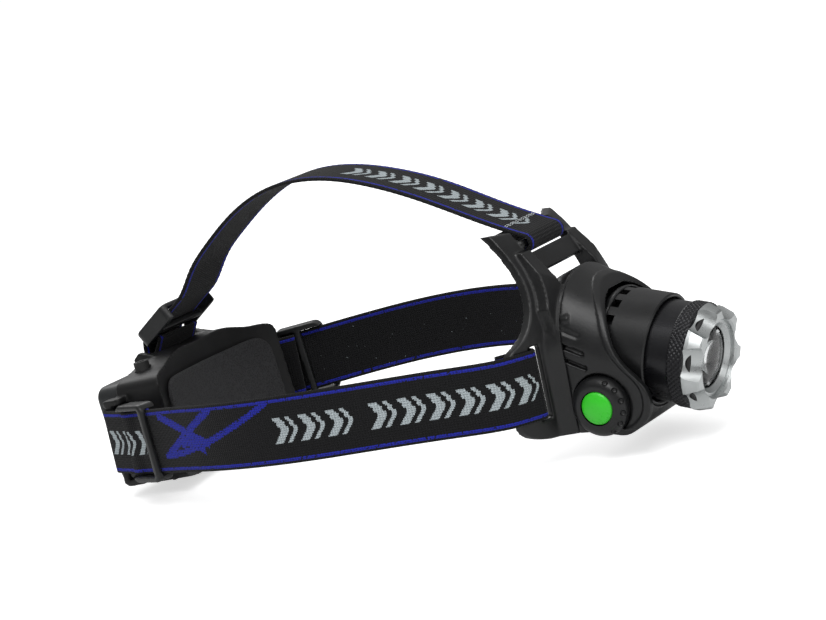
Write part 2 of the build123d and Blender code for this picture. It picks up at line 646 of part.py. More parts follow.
with BuildPart() as battery_cradle:
    with BuildSketch(BOX.offset(-40)):
        with BuildLine():
            nape = ThreePointArc((21, CRADLE_Y), (13.2, 0), (21, -CRADLE_Y))
            Polyline(nape @ 1, (LID_PLANE + 0.2, -CRADLE_Y), (LID_PLANE + 0.2, CRADLE_Y), nape @ 0)
        make_face()
    extrude(amount=80)
    extrude(cradle_outline(0), amount=80, mode=Mode.INTERSECT)
    # room for the lid's own knuckles
    for y in (-2 * KNUCKLE_PITCH, 0, 2 * KNUCKLE_PITCH):
        with BuildSketch(box_side(y + KNUCKLE_PITCH / 2)):
            with Locations((PIN_X, PIN_Z)):
                Circle(2.6)
        extrude(amount=KNUCKLE_PITCH, mode=Mode.SUBTRACT)
    add(hinge_knuckles([-KNUCKLE_PITCH, KNUCKLE_PITCH], 3.4))
    add(lid_pin_bore.part, mode=Mode.SUBTRACT)
    # pocket for the box
    extrude(box_front(LID_PLANE, BOX_HALF_WIDTH + 0.02, BOX_HALF_HEIGHT + 0.02, 5),
            amount=BOX_HALF_DEPTH - LID_PLANE + 0.02, mode=Mode.SUBTRACT)
    # ears for the head band
    for side in (RIGHT, LEFT):
        with BuildSketch(BOX.offset(EAR_SLAB_FOOT)):
            with Locations((-0.6, side * (CRADLE_Y + 2.6))):
                RectangleRounded(9.0, 5.6, 1.6)
        extrude(amount=EAR_SLAB_HEIGHT)
        with BuildSketch(BOX.offset(-16.4)):
            with Locations((-1.3, side * (CRADLE_Y + 4.05))):
                Rectangle(16, 8)
        extrude(amount=29.2, mode=Mode.SUBTRACT)
        with BuildSketch(Plane.XY.offset(POST.Z - 18)):
            with Locations((POST.X, side * POST.Y)):
                Circle(POST_R)
        extrude(amount=31)
    # lugs for the top strap's bar
    for y in (-19.2, 16.2):
        with BuildSketch(box_side(y + 3.0)):
            with BuildLine():
                Polyline((7, 20.8), (-0.6, 20.8), (-4.9, 22.6), (-5.2, 25), (-2.2, 27.2), (7, 24.6),
                         close=True)
            make_face()
        extrude(amount=3.0)
    add(box_cylinder(-19.0, BAR_Z, 1.1, 38.0).moved(Location(BOX.x_dir * BAR_X)), mode=Mode.SUBTRACT)
    with BuildSketch(box_top(0)):
        Circle(GROMMET_R + 0.02)
    extrude(amount=12, mode=Mode.SUBTRACT)
    # room for the top strap's webbing around that bar
    with BuildSketch(box_side(WEB_WIDTH / 2 + 0.4)):
        with Locations((BAR_X + 0.2, BAR_Z + 1.5)):
            Rectangle(9.4, 10.0)
    extrude(amount=WEB_WIDTH + 0.8, mode=Mode.SUBTRACT)
finish(battery_cradle.part, "battery_cradle")

with BuildPart() as top_strap_bar:
    add(box_cylinder(-19.0, BAR_Z, 1.1, 38.0).moved(Location(BOX.x_dir * BAR_X)))
finish(top_strap_bar.part, "top_strap_bar")

with BuildPart() as nape_pad:
    with BuildSketch(BOX.offset(-40)):
        with BuildLine():
            outside = ThreePointArc((21, CRADLE_Y), (13.2, 0), (21, -CRADLE_Y))
            inside = ThreePointArc((23.5, -CRADLE_Y), (15.7, 0), (23.5, CRADLE_Y))
            Line(outside @ 1, inside @ 0)
            Line(inside @ 1, outside @ 0)
        make_face()
    extrude(amount=80)
    extrude(box_front(0, 34, 17, 8), amount=40, mode=Mode.INTERSECT)
finish(nape_pad.part, "nape_pad")

with BuildPart() as cable_grommet:
    with BuildSketch(box_top(0.2)):
        Circle(3.0)
    extrude(amount=5.4)
    with BuildSketch(box_top(3.0)):
        Circle(1.6)
    extrude(amount=8, mode=Mode.SUBTRACT)
finish(cable_grommet.part, "cable_grommet")

# ---------------------------------------------------------------- webbing


def band_y(x):
    """Half width of the head band's loop at a place along it."""
    return BAND_WIDTH_HALF * (1 - abs(x / BAND_LENGTH_HALF) ** BAND_POWER) ** (1 / BAND_POWER)


def band_z(x):
    """Height of the head band's middle at a place along it."""
    lift = BAND_LIFT * (max(0, LIFT_START - x) / LIFT_LENGTH) ** 2
    return BAND_RISE * x / BAND_LENGTH_HALF + BAND_ARCH * (1 - (x / BAND_LENGTH_HALF) ** 2) + lift


def wing_point(radius, angle):
    """A point over a bracket wing, from its radius and its angle off straight ahead."""
    return HEAD_X + radius * cos(radians(angle)), radius * sin(radians(angle))


BAND_TANGENT_X = -38.0
BAND_STATIONS = (-110, -92, -76, -55, 0, 55, 110)
RUN = Vector(BAND_TANGENT_X - POST.X, band_y(BAND_TANGENT_X) - POST.Y - WRAP_R, 0).normalized()
RUN_OUT = Vector(-RUN.Y, RUN.X, 0)
SLIDER_REACH = 23.2
WING_ANGLE = 24.9
WING_MID_R = HEAD_R + FLANGE / 2
WING_WRAP_R = FLANGE / 2 + WEB_GAP + WEB_THICK / 2
degrees_over_wing = degrees(WING_WRAP_R / WING_MID_R)


def plan(vector, side):
    """A point of the band's plan, on the wearer's left or right."""
    return vector.X, side * vector.Y


def head_band(side):
    """One half of the head band, folded round its ear on the cradle and its wing on the bracket."""
    rear_inner_end = POST - RUN_OUT * WRAP_R + RUN * SLIDER_REACH
    rear_inner = POST - RUN_OUT * WRAP_R
    rear_turn = POST - RUN * WRAP_R
    rear_outer = POST + RUN_OUT * WRAP_R
    along_head = [(x, side * band_y(x)) for x in (BAND_TANGENT_X, -12, 14, 42)] + [(68, side * 55.2)]
    wing_tip = wing_point(WING_MID_R + WING_WRAP_R, side * 32.5)
    wing_end = wing_point(WING_MID_R + WING_WRAP_R, side * WING_ANGLE)
    wing_turn = wing_point(WING_MID_R, side * (WING_ANGLE - degrees_over_wing))
    wing_back = wing_point(WING_MID_R - WING_WRAP_R, side * WING_ANGLE)
    inner_tip = wing_point(WING_MID_R - WING_WRAP_R, side * 33)
    with BuildPart() as webbing:
        with BuildSketch(Plane.XY.offset(-30)):
            with BuildLine() as path:
                Line(plan(rear_inner_end, side), plan(rear_inner, side))
                ThreePointArc(plan(rear_inner, side), plan(rear_turn, side), plan(rear_outer, side))
                Line(plan(rear_outer, side), along_head[0])
                Spline(*along_head, wing_tip, tangents=[(RUN.X, side * RUN.Y), (0.62, -side * 0.78)])
                ThreePointArc(wing_tip, wing_point(WING_MID_R + WING_WRAP_R, side * 28), wing_end)
                ThreePointArc(wing_end, wing_turn, wing_back)
                ThreePointArc(wing_back, wing_point(WING_MID_R - WING_WRAP_R, side * 29), inner_tip)
            trace(line_width=WEB_THICK)
        extrude(amount=70)
        with BuildSketch(Plane.XZ):
            with BuildLine():
                lower = Spline(*[(x, band_z(x) - WEB_WIDTH / 2) for x in BAND_STATIONS])
                upper = Spline(*[(x, band_z(x) + WEB_WIDTH / 2) for x in BAND_STATIONS])
                Line(lower @ 0, upper @ 0)
                Line(lower @ 1, upper @ 1)
            make_face()
        extrude(amount=120, both=True, mode=Mode.INTERSECT)
    return webbing.part


finish(head_band(RIGHT), "head_band_right")
finish(head_band(LEFT), "head_band_left")

# the top strap, in the plane of symmetry
TOP_SLIDER_AT = Vector(-88.1, 0, 35.1)
TOP_SLIDER_RUN = Vector(cos(radians(35)), 0, sin(radians(35)))
TOP_SLIDER_OUT = Vector(-TOP_SLIDER_RUN.Z, 0, TOP_SLIDER_RUN.X)
BAR = BOX.from_local_coords((BAR_X, 0, BAR_Z))
with BuildPart() as top_strap:
    with BuildSketch(Plane.XZ):
        with BuildLine():
            up = Vector(0.24, 0, 0.97).normalized()
            out_of_head = Vector(-up.Z, 0, up.X)
            bar_wrap = 1.1 + WEB_GAP + WEB_THICK / 2
            tail = BAR - out_of_head * bar_wrap + Vector(0.5, 0, 0.866) * 9
            outer_foot = BAR + out_of_head * bar_wrap
            through = TOP_SLIDER_AT + TOP_SLIDER_RUN * 14
            into = TOP_SLIDER_AT - TOP_SLIDER_RUN * 9.5
            front_out = Vector(0.33, 0, 0.944)
            front_along = Vector(front_out.Z, 0, -front_out.X)
            front_top = HORN_BAR + front_out * WRAP_R
            front_back = HORN_BAR - front_out * WRAP_R
            nose = HORN_BAR + front_along * WRAP_R
            tuck = front_back - front_along * 15
            foot = BAR - up * bar_wrap
            Line((tail.X, tail.Z), ((BAR - out_of_head * bar_wrap).X, (BAR - out_of_head * bar_wrap).Z))
            ThreePointArc(((BAR - out_of_head * bar_wrap).X, (BAR - out_of_head * bar_wrap).Z),
                          (foot.X, foot.Z), (outer_foot.X, outer_foot.Z))
            Spline((outer_foot.X, outer_foot.Z), (into.X, into.Z),
                   tangents=[(up.X, up.Z), (TOP_SLIDER_RUN.X, TOP_SLIDER_RUN.Z)])
            Line((into.X, into.Z), (through.X, through.Z))
            Spline((through.X, through.Z), (-66.3, 54.9), (-55.3, 64.5), (-43.5, 72.8), (-22, 82.4),
                   (0, 84), (22, 79.8), (43, 72.4), (63, 63.2), (front_top.X, front_top.Z),
                   tangents=[(TOP_SLIDER_RUN.X, TOP_SLIDER_RUN.Z), (front_along.X, front_along.Z)])
            ThreePointArc((front_top.X, front_top.Z), (nose.X, nose.Z), (front_back.X, front_back.Z))
            Line((front_back.X, front_back.Z), (tuck.X, tuck.Z))
        trace(line_width=WEB_THICK)
    extrude(amount=WEB_WIDTH / 2, both=True)
finish(top_strap.part, "top_strap")


# ---------------------------------------------------------------- sliders
SLIDER_LENGTH, SLIDER_HEIGHT, SLIDER_BAR = 20.5, 30.2, 2.8
SLIDER_AT = 25.0            # middle of the band sliders, from the posts that the band goes round
SLIDER_FACE, SLIDER_BACK = 1.2, -3.4


def slider(plane, rear_bar_under):
    """Three-bar slider: front bar over the webbing, middle bar under it, rear bar either."""
    rear_bar_x = (SLIDER_BAR - SLIDER_LENGTH) / 2
    with BuildPart() as body:
        with BuildSketch(plane.offset(SLIDER_BACK)):
            RectangleRounded(SLIDER_LENGTH, SLIDER_HEIGHT, 3.2)
        extrude(amount=6.8)
        chamfer(body.faces().sort_by(Axis(plane.origin, plane.z_dir))[-1].edges(), 0.7)
        # window over the whole width of the webbing, above and below each bar
        with BuildSketch(plane.offset(SLIDER_BACK)):
            Rectangle(SLIDER_LENGTH + 2, WEB_WIDTH + 0.9)
            Rectangle(2.6, WEB_WIDTH + 0.9, mode=Mode.SUBTRACT)
            if rear_bar_under:
                with Locations((rear_bar_x, 0)):
                    Rectangle(SLIDER_BAR, WEB_WIDTH + 0.9, mode=Mode.SUBTRACT)
        extrude(amount=SLIDER_FACE - SLIDER_BACK, mode=Mode.SUBTRACT)
        with BuildSketch(plane.offset(-1.2)):
            Rectangle(SLIDER_LENGTH - 2 * SLIDER_BAR, WEB_WIDTH + 0.9)
            if rear_bar_under:
                with Locations((rear_bar_x, 0)):
                    Rectangle(SLIDER_BAR + 0.4, WEB_WIDTH + 0.9)
        extrude(amount=8, mode=Mode.SUBTRACT)
    return body.part


for side, name in ((RIGHT, "band_slider_right"), (LEFT, "band_slider_left")):
    middle = POST + RUN_OUT * WRAP_R + RUN * SLIDER_AT
    slope = (band_z(middle.X + 5) - band_z(middle.X - 5)) / 10
    along = Vector(RUN.X, side * RUN.Y, slope * RUN.X)
    out = Vector(RUN_OUT.X, side * RUN_OUT.Y, 0)
    place = Plane(origin=(middle.X, side * middle.Y, band_z(middle.X)), x_dir=along, z_dir=out)
    finish(slider(place, True), name)

slider_top_plane = Plane(origin=TOP_SLIDER_AT, x_dir=TOP_SLIDER_RUN, z_dir=TOP_SLIDER_OUT)
finish(slider(slider_top_plane, False), "top_strap_slider")
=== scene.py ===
"""A camping headlamp on its straps: the looks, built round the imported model.

Metres, +X forward, +Y to the wearer's left, +Z up. Every position comes from the model's own boxes
or from the driving dimensions below, which are the ones of the CAD source.
"""

from math import atan2, cos, pi, radians, sin

import bmesh
import bpy
import numpy as np
from mathutils import Matrix, Vector, noise


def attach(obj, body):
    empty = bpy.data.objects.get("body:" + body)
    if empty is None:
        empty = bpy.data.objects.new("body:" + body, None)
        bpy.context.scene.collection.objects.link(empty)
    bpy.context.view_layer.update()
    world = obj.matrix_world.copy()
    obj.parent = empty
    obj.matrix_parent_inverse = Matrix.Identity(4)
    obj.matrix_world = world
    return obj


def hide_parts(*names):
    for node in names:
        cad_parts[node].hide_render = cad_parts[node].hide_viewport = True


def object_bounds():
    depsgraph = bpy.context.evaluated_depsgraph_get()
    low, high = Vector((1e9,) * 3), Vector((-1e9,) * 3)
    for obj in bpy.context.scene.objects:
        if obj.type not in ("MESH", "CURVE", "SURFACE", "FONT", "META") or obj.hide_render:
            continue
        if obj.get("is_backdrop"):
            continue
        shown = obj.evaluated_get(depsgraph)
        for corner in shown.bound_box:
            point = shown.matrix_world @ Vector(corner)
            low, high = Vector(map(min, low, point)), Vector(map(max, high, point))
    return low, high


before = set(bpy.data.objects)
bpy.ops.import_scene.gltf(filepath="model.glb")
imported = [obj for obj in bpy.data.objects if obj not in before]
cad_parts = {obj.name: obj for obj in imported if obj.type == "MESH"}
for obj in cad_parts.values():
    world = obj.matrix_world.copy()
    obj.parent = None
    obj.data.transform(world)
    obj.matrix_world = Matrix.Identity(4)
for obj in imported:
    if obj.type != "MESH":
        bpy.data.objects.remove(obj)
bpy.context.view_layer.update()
MM = 0.001

# ---------------------------------------------------------------- driving dimensions, mm
WEB_WIDTH, WEB_THICK, WEB_GAP = 25.0, 1.8, 0.3
BAND_LENGTH_HALF, BAND_WIDTH_HALF, BAND_POWER = 101.6, 76.3, 1.77
BAND_RISE, BAND_ARCH, BAND_LIFT = 5.0, 6.5, 4.5
BAND_FOLD = 23.2            # length of the rear end's hidden run
BAND_SLIDER_AT = 25.0
SLIDER_REAR_BAR = 8.85      # from a band slider's middle to its rear bar
BAR_RISE = 1.1              # how far the webbing bulges over that bar
LAMP_TILT = radians(13.5)
LAMP_RISE = 15.5
PIVOT = Vector((109.0, 0, -5.5))
HEAD_X, WING_MID_R, FLANGE = 17.0, 78.5, 3.0
POST_R = 1.6
GRIP_R = 18.88
WRAP_R = POST_R + WEB_GAP + WEB_THICK / 2
WING_WRAP_R = FLANGE / 2 + WEB_GAP + WEB_THICK / 2
WING_ANGLE = 24.9
LEAN = radians(5.6)
BOX_CENTRE = Vector((-90.6, 0, -1.0))
BOX_X = Vector((cos(LEAN), 0, sin(LEAN)))
BOX_Z = Vector((-sin(LEAN), 0, cos(LEAN)))
HORN_BAR = Vector((83.3, 0, 51.8))
TOP_SLIDER_AT = Vector((-88.1, 35.1))
RIGHT, LEFT = -1, 1
LAMP_DIR = Vector((cos(LAMP_TILT), 0, -sin(LAMP_TILT)))
LAMP_UP = Vector((sin(LAMP_TILT), 0, cos(LAMP_TILT)))
LAMP_AT = PIVOT + LAMP_UP * LAMP_RISE


def box_point(x, y, z):
    """A point from its place in the battery box's own leaning frame."""
    return BOX_CENTRE + BOX_X * x + Vector((0, y, 0)) + BOX_Z * z


POST = box_point(-3.0, 43.6, 0)
STRAP_BAR = box_point(-2.4, 0, 24.0)


# ---------------------------------------------------------------- camera
def place_camera():
    azimuth, elevation, roll = radians(34.365), radians(10.255), radians(12.2025)
    back = Vector((sin(azimuth) * cos(elevation), -cos(azimuth) * cos(elevation), sin(elevation)))
    level = Vector((cos(azimuth), sin(azimuth), 0))
    upright = back.cross(level)
    right = level * cos(roll) - upright * sin(roll)
    up = level * sin(roll) + upright * cos(roll)
    data = bpy.data.cameras.new("camera")
    data.sensor_width = 36.0
    data.lens = 36.0 * 2600 / 826
    data.clip_start, data.clip_end = 0.02, 50
    camera = bpy.data.objects.new("camera", data)
    bpy.context.scene.collection.objects.link(camera)
    turn = Matrix((right, up, back)).transposed().to_4x4()
    camera.matrix_world = Matrix.Translation(Vector((558.06, -782.34, 200.46)) * MM) @ turn
    bpy.context.scene.camera = camera


place_camera()


# ---------------------------------------------------------------- node helpers
class Nodes:
    """A material's node tree, with short calls for the nodes used here."""

    def __init__(self, name):
        self.material = bpy.data.materials.new(name)
        self.material.use_nodes = True
        self.tree = self.material.node_tree
        self.shader = self.tree.nodes["Principled BSDF"]

    def node(self, kind, inputs=(), **settings):
        made = self.tree.nodes.new(kind)
        for key, value in settings.items():
            setattr(made, key, value)
        for key, value in dict(inputs).items():
            self.feed(made.inputs[key], value)
        return made

    def feed(self, socket, value):
        if isinstance(value, bpy.types.NodeSocket):
            self.tree.links.new(value, socket)
        else:
            socket.default_value = value

    def math(self, operation, *values):
        made = self.tree.nodes.new("ShaderNodeMath")
        made.operation = operation
        for socket, value in zip(made.inputs, values):
            self.feed(socket, value)
        return made.outputs[0]

    def mix(self, share, low, high):
        made = self.node("ShaderNodeMix", {0: share, 6: low, 7: high}, data_type="RGBA")
        return made.outputs[2]

    def ramp(self, value, low, high, out_low=0.0, out_high=1.0):
        made = self.node("ShaderNodeMapRange", {0: value, 1: low, 2: high, 3: out_low, 4: out_high})
        return made.outputs[0]

    def noise(self, scale, detail=3.0, roughness=0.55, vector=None):
        made = self.node("ShaderNodeTexNoise", {"Scale": scale, "Detail": detail, "Roughness": roughness})
        if vector is None:
            vector = self.node("ShaderNodeTexCoord").outputs["Object"]
        self.feed(made.inputs["Vector"], vector)
        return made.outputs["Fac"]

    def bump(self, height, strength, distance):
        made = self.node("ShaderNodeBump", {"Height": height, "Strength": strength, "Distance": distance})
        self.feed(self.shader.inputs["Normal"], made.outputs[0])

    def set(self, **values):
        for key, value in values.items():
            self.feed(self.shader.inputs[key.replace("_", " ")], value)
        return self.material


def moulded(name, colour, rough, grain=1800.0, depth=0.00004, spread=0.12, specular=0.5):
    """Satin moulded plastic: fine spark-eroded grain, faint flow marks, shine that varies a little."""
    n = Nodes(name)
    fine = n.noise(grain, 4.0)
    broad = n.noise(55.0, 5.0)
    low = [c * (1 - 2 * spread) for c in colour] + [1]
    high = [c * (1 + 2 * spread) + 0.004 for c in colour] + [1]
    tint = n.mix(n.ramp(broad, 0.35, 0.65), low, high)
    shine = n.math("ADD", n.ramp(broad, 0.3, 0.7, rough - 0.05, rough + 0.07),
                   n.ramp(fine, 0.3, 0.7, -0.03, 0.03))
    n.bump(fine, 0.55, depth)
    return n.set(Base_Color=tint, Roughness=shine, Specular_IOR_Level=specular)


def metal(name, colour, rough, along=None, grain=900.0, depth=0.00002, metallic=1.0):
    """Turned or drawn metal: fine lines round the axis given, faint clouding."""
    n = Nodes(name)
    where = n.node("ShaderNodeTexCoord").outputs["Object"]
    stretched = n.node("ShaderNodeMapping", {"Vector": where, "Scale": along or (1, 1, 1)}).outputs[0]
    lines = n.noise(grain, 3.0, 0.6, stretched)
    cloud = n.noise(90.0, 4.0)
    low, high = [c * 0.9 for c in colour] + [1], [min(c * 1.06, 1) for c in colour] + [1]
    n.bump(lines, 0.4, depth)
    shine = n.math("ADD", n.ramp(lines, 0.3, 0.7, rough - 0.05, rough + 0.06),
                   n.ramp(cloud, 0.3, 0.7, -0.03, 0.03))
    return n.set(Base_Color=n.mix(n.ramp(cloud, 0.3, 0.7), low, high), Roughness=shine, Metallic=metallic)


# ---------------------------------------------------------------- mesh helpers
def link(name, mesh, material, body):
    """A finished piece, with its material, riding on a body."""
    piece = bpy.data.objects.new(name, mesh)
    bpy.context.scene.collection.objects.link(piece)
    mesh.materials.clear()
    mesh.materials.append(material)
    for face in mesh.polygons:
        face.use_smooth = True
    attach(piece, body)
    return piece


def applied(piece):
    """Put the piece's modifiers into its mesh."""
    bpy.context.view_layer.update()
    graph = bpy.context.evaluated_depsgraph_get()
    mesh = bpy.data.meshes.new_from_object(piece.evaluated_get(graph))
    piece.modifiers.clear()
    piece.data = mesh
    return piece


def welded(node):
    """A copy of a CAD node's mesh with its corners joined and its flat faces made whole."""
    made = bmesh.new()
    made.from_mesh(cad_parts[node].data)
    bmesh.ops.remove_doubles(made, verts=made.verts, dist=2e-6)
    bmesh.ops.dissolve_limit(made, angle_limit=radians(0.6), verts=made.verts, edges=made.edges)
    mesh = bpy.data.meshes.new(node)
    made.to_mesh(mesh)
    made.free()
    return mesh


def softened(name, node, material, body, voxel=0.45, passes=5, keep=0.5):
    """A moulding with every edge rounded: the CAD node's shape remeshed finely, then relaxed."""
    mesh = welded(node)
    piece = bpy.data.objects.new(name, mesh)
    bpy.context.scene.collection.objects.link(piece)
    remesh = piece.modifiers.new("remesh", "REMESH")
    remesh.mode, remesh.voxel_size = "VOXEL", voxel * MM
    relax = piece.modifiers.new("relax", "SMOOTH")
    relax.factor, relax.iterations = 0.5, passes
    if keep < 1:
        thin = piece.modifiers.new("thin", "DECIMATE")
        thin.ratio = keep
    applied(piece)
    piece.data.materials.clear()
    piece.data.materials.append(material)
    for face in piece.data.polygons:
        face.use_smooth = True
    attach(piece, body)
    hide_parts(node)
    return piece


def clamped_spline(points, start, end, steps):
    """Points along a smooth curve through the given ones, leaving and arriving in given directions."""
    p = np.array([tuple(q) for q in points], float)
    gaps = np.linalg.norm(np.diff(p, axis=0), axis=1)
    n = len(p)
    matrix, wanted = np.zeros((n, n)), np.zeros((n, p.shape[1]))
    matrix[0, 0] = matrix[-1, -1] = 1
    wanted[0], wanted[-1] = np.array(start) / np.linalg.norm(start), np.array(end) / np.linalg.norm(end)
    for i in range(1, n - 1):
        before, after = gaps[i - 1], gaps[i]
        matrix[i, i - 1], matrix[i, i], matrix[i, i + 1] = after, 2 * (before + after), before
        wanted[i] = 3 * (after * (p[i] - p[i - 1]) / before + before * (p[i + 1] - p[i]) / after)
    slopes = np.linalg.solve(matrix, wanted)
    out = []
    for i in range(n - 1):
        for k in range(steps + (i == n - 2)):
            u, g = k / steps, gaps[i]
            out.append((2 * u**3 - 3 * u**2 + 1) * p[i] + (u**3 - 2 * u**2 + u) * g * slopes[i]
                       + (3 * u**2 - 2 * u**3) * p[i + 1] + (u**3 - u**2) * g * slopes[i + 1])
    return out


def arc(centre, start, end, steps, long_way=False):
    """Points round a centre from one point to another in the plane, both ends left out."""
    c, s, e = (np.array(v[:2], float) for v in (centre, start, end))
    radius = np.linalg.norm(s - c)
    a0, a1 = atan2(*(s - c)[::-1]), atan2(*(e - c)[::-1])
    turn = (a1 - a0 + pi) % (2 * pi) - pi
    if long_way:
        turn -= 2 * pi * np.sign(turn)
    return [c + radius * np.array((cos(a0 + turn * k / steps), sin(a0 + turn * k / steps)))
            for k in range(1, steps)]


def resampled(path, step):
    """The same plane path with points evenly spaced."""
    p = np.array(path, float)
    lengths = np.concatenate([[0], np.cumsum(np.linalg.norm(np.diff(p, axis=0), axis=1))])
    count = int(round(lengths[-1] / step)) + 1
    wanted = np.linspace(0, lengths[-1], count)
    return np.stack([np.interp(wanted, lengths, p[:, k]) for k in range(p.shape[1])], 1), wanted


# ---------------------------------------------------------------- webbing
def band_y(x):
    return BAND_WIDTH_HALF * (1 - abs(x / BAND_LENGTH_HALF) ** BAND_POWER) ** (1 / BAND_POWER)


def band_z(x):
    lift = BAND_LIFT * (max(0, -60.0 - x) / 50.0) ** 2
    return BAND_RISE * x / BAND_LENGTH_HALF + BAND_ARCH * (1 - (x / BAND_LENGTH_HALF) ** 2) + lift


def wing_point(radius, angle):
    return np.array((HEAD_X + radius * cos(radians(angle)), radius * sin(radians(angle))))


def band_path():
    """The head band's middle line in plan on the wearer's left, from its hidden rear end to its front one."""
    tangent_x = -38.0
    run = Vector((tangent_x - POST.x, band_y(tangent_x) - POST.y - WRAP_R)).normalized()
    out = Vector((-run.y, run.x))
    post = POST.xy
    inner_end, inner = post - out * WRAP_R + run * BAND_FOLD, post - out * WRAP_R
    outer = post + out * WRAP_R
    path = [np.array(inner_end), np.array(inner)]
    path += arc(post, inner, post - run * WRAP_R, 10) + [np.array(post - run * WRAP_R)]
    path += arc(post, post - run * WRAP_R, outer, 10) + [np.array(outer)]
    along = [(x, band_y(x)) for x in (tangent_x, -12, 14, 42)] + [(68, 55.2)]
    tip = wing_point(WING_MID_R + WING_WRAP_R, 32.5)
    path += clamped_spline(along + [tip], run, (0.62, -0.78), 14)
    end = wing_point(WING_MID_R + WING_WRAP_R, WING_ANGLE)
    path += [wing_point(WING_MID_R + WING_WRAP_R, a) for a in (31, 29.5, 28, 26.5)] + [end]
    middle = wing_point(WING_MID_R, WING_ANGLE)
    turn = wing_point(WING_MID_R, WING_ANGLE - np.degrees(WING_WRAP_R / WING_MID_R))
    back = wing_point(WING_MID_R - WING_WRAP_R, WING_ANGLE)
    path += arc(middle, end, turn, 8) + [turn] + arc(middle, turn, back, 8) + [back]
    path += [wing_point(WING_MID_R - WING_WRAP_R, a) for a in (27, 29, 31, 33)]
    return path


def top_path():
    """The top strap's middle line seen from the side, from its hidden rear end to its front one."""
    up = Vector((0.24, 0.97)).normalized()
    out = Vector((-up.y, up.x))
    front_out, front_along = Vector((0.33, 0.944)), Vector((0.944, -0.33))
    bar, horn = Vector((STRAP_BAR.x, STRAP_BAR.z)), Vector((HORN_BAR.x, HORN_BAR.z))
    wrap = 1.1 + WEB_GAP + WEB_THICK / 2
    inner, foot, outer = bar - out * wrap, bar - up * wrap, bar + out * wrap
    tail = inner + Vector((0.5, 0.866)) * 9
    path = [np.array(tail), np.array(inner)] + arc(bar, inner, foot, 8) + [np.array(foot)]
    path += arc(bar, foot, outer, 8) + [np.array(outer)]
    run = Vector((cos(radians(35)), sin(radians(35))))
    into, through = TOP_SLIDER_AT - run * 9.5, TOP_SLIDER_AT + run * 14
    path += clamped_spline([outer, into], up, run, 8)
    crown = [(-66.3, 54.9), (-55.3, 64.5), (-43.5, 72.8), (-22, 82.4), (0, 84), (22, 79.8), (43, 72.4),
             (63, 63.2)]
    front_top, nose, front_back = (horn + front_out * WRAP_R, horn + front_along * WRAP_R,
                                   horn - front_out * WRAP_R)
    path += clamped_spline([through] + crown + [front_top], run, front_along, 10)
    path += arc(horn, front_top, nose, 8) + [np.array(nose)] + arc(horn, nose, front_back, 8)
    path += [np.array(front_back), np.array(front_back - front_along * 15)]
    return path


def bulge(s, bar_at, height):
    """Rise of the webbing over a slider's bar that lies under it, steep towards the band's fold."""
    if height == 0 or not -2.4 < s - bar_at < 8.0:
        return 0.0
    steep = min(1.0, (s - bar_at + 2.4) / 1.2)
    slow = min(1.0, (8.0 - (s - bar_at)) / 6.6)
    return height * steep * steep * (3 - 2 * steep) * slow * slow * (3 - 2 * slow)


def webbing_mesh(name, path, place, normal_of, across_of, wave=0.0, bar_at=0.0, bar_rise=0.0):
    """A woven band with rounded selvedges. Points carry their place along it, across it, and which face."""
    points, along = resampled(path, 0.8)
    tangents = np.gradient(points, axis=0)
    tangents /= np.linalg.norm(tangents, axis=1)[:, None]
    half, thick = WEB_WIDTH / 2, 1.35
    inner_w = half - thick / 2
    flats = np.linspace(-inner_w, inner_w, 25)
    round_edge = (pi / 4, pi / 2, 3 * pi / 4)
    outline = [(t, thick / 2, 1.0) for t in flats]
    outline += [(inner_w + thick / 2 * sin(a), thick / 2 * cos(a), cos(a)) for a in round_edge]
    outline += [(t, -thick / 2, -1.0) for t in flats[::-1]]
    outline += [(-inner_w - thick / 2 * sin(a), -thick / 2 * cos(a), -cos(a)) for a in round_edge]
    verts, lay = [], []
    for i, (p, s) in enumerate(zip(points, along)):
        base, normal, across = place(p), normal_of(tangents[i]), across_of(p, tangents[i])
        sway = wave * (sin(s / 23.0) + 0.6 * sin(s / 9.1 + 1.0))
        for t, d, side in outline:
            selvedge = 0.09 * sin(s * 2 * pi / 2.6) * max(0, abs(t) - inner_w + 0.2) / 0.6
            offset = d + sway * (t / half) + selvedge * side + bulge(s, bar_at, bar_rise)
            verts.append((base + normal * offset + across * t) * MM)
            lay.append((s * MM, t * MM, side))
    m = len(outline)
    faces = [(i * m + k, i * m + (k + 1) % m, (i + 1) * m + (k + 1) % m, (i + 1) * m + k)
             for i in range(len(points) - 1) for k in range(m)]
    faces += [tuple(range(m))[::-1], tuple((len(points) - 1) * m + k for k in range(m))]
    mesh = bpy.data.meshes.new(name)
    mesh.from_pydata([tuple(v) for v in verts], [], faces)
    attribute = mesh.attributes.new("lay", "FLOAT_VECTOR", "POINT")
    attribute.data.foreach_set("vector", np.array(lay, np.float32).ravel())
    made = bmesh.new()
    made.from_mesh(mesh)
    bmesh.ops.recalc_face_normals(made, faces=made.faces)
    made.to_mesh(mesh)
    made.free()
    return mesh, along[-1]


STRANDS_LENGTH = 66.0       # the stretch that the strands are written for: first, last, a, b, c
STRANDS = ((0, 33, 9.5, -0.36, 0.0), (0, 66, -6.2, 0.03, 0.0034), (3, 38, -7.0, 0.47, 0.0),
           (14, 30, -11.5, 1.15, -0.03))


